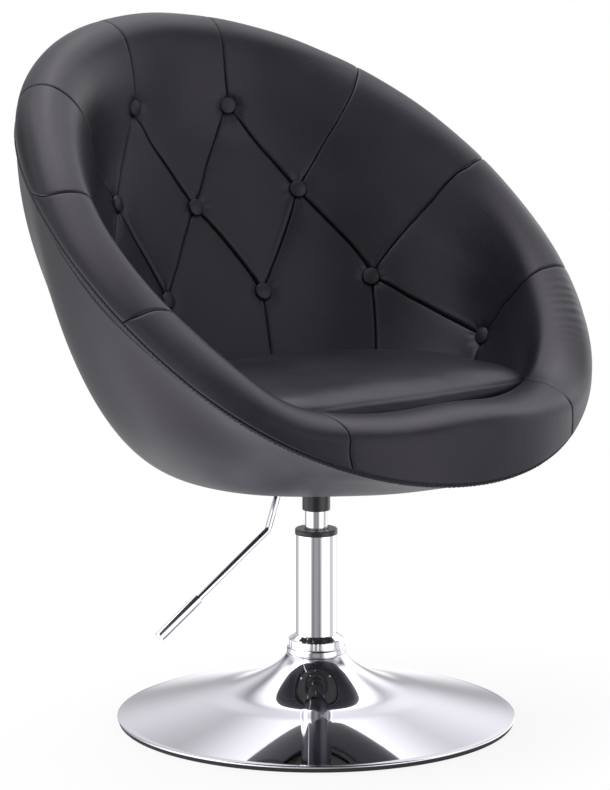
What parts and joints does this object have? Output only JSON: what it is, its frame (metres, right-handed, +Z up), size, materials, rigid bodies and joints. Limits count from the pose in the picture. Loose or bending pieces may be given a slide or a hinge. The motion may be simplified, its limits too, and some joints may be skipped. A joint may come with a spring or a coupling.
{
  "type": "hydraulic barber chair",
  "caption": "Black tufted tub chair with a padded rim, loose cushion and buttoned back, turning and rising on a chromed gas-lift column with a release lever and trumpet disc base.",
  "frame": {"origin": "on the floor at the axis of the column, the centre of the base ring", "axes": "+Z up, the sitter faces -Y, the release lever is on the sitter's right at -X"},
  "size_m": [0.708, 0.7279, 0.8566],
  "materials": {
    "chrome_plate": "mirror chrome plate",
    "chrome_bar": "bright chrome",
    "hard_chrome": "hard chrome",
    "floor_rubber": "matte rubber",
    "black_plastic": "satin black plastic",
    "nylon": "natural nylon",
    "black_steel": "black enamel",
    "raw_steel": "mill finish",
    "bearing_steel": "ground steel",
    "zinc_steel": "zinc plate",
    "plywood": "black-stained plywood",
    "moulded_shell": "moulded shell",
    "black_leatherette": "soft-sheen grained leatherette over foam"
  },
  "bodies": {
    "base": {"base_disc": "chrome_plate", "base_floor_ring": "floor_rubber", "ballast_plate": "raw_steel", "base_hub": "raw_steel", "base_collar": "chrome_plate", "column_sleeve": "chrome_plate", "sleeve_cap": "black_plastic", "guide_bush": "nylon", "bearing_washer_lower": "bearing_steel"},
    "piston_rod": {"piston_rod": "hard_chrome", "piston": "bearing_steel", "bearing_washer_upper": "bearing_steel", "bearing_balls": "bearing_steel", "bearing_cage": "nylon", "rubber_buffer": "floor_rubber", "rod_washer": "bearing_steel", "rod_clip": "bearing_steel"},
    "seat": {"gas_cylinder": "hard_chrome", "rod_gland": "nylon", "cylinder_collar": "black_plastic", "seat_plate": "black_steel", "plate_bolts": "zinc_steel", "plate_washers": "zinc_steel", "tee_nuts": "zinc_steel", "seat_board": "plywood", "seat_deck": "plywood", "seat_cushion": "black_leatherette", "outer_cover": "black_leatherette", "outer_shell": "moulded_shell", "inner_shell": "moulded_shell", "back_pad": "black_leatherette", "front_pad": "black_leatherette", "back_buttons": "black_leatherette", "button_anchors": "zinc_steel", "lever_pivot_pin": "bearing_steel", "roll_panel_front": "black_leatherette", "roll_panel_top": "black_leatherette", "roll_panel_left_1": "black_leatherette", "roll_panel_left_2": "black_leatherette", "roll_panel_left_3": "black_leatherette", "roll_panel_left_4": "black_leatherette", "roll_panel_right_1": "black_leatherette", "roll_panel_right_2": "black_leatherette", "roll_panel_right_3": "black_leatherette", "roll_panel_right_4": "black_leatherette"},
    "lever": {"lever_rod": "chrome_bar", "lever_grip": "chrome_bar"},
    "release_pin": {"release_pin": "bearing_steel"}
  },
  "joints": [
    {"name": "seat_swivel", "type": "hinge", "parent": "base", "child": "piston_rod", "pos_m": [0, 0, 0.03], "axis": [0, 0, 1], "continuous": true},
    {"name": "height_lift", "type": "slide", "parent": "piston_rod", "child": "seat", "axis": [0, 0, 1], "range_m": [0, 0.14]},
    {"name": "lever_lift", "type": "hinge", "parent": "seat", "child": "lever", "pos_m": [-0.04, 0, 0.30405], "axis": [0, 1, 0], "range_deg": [0, 4.3], "stiffness_Nm_per_rad": 4},
    {"name": "release_press", "type": "slide", "parent": "seat", "child": "release_pin", "axis": [0, 0, -1], "range_m": [0, 0.0031]}
  ],
  "couplings": [
    {"joint": "release_press", "follows": "lever_lift", "m_per_rad": 0.04}
  ]
}
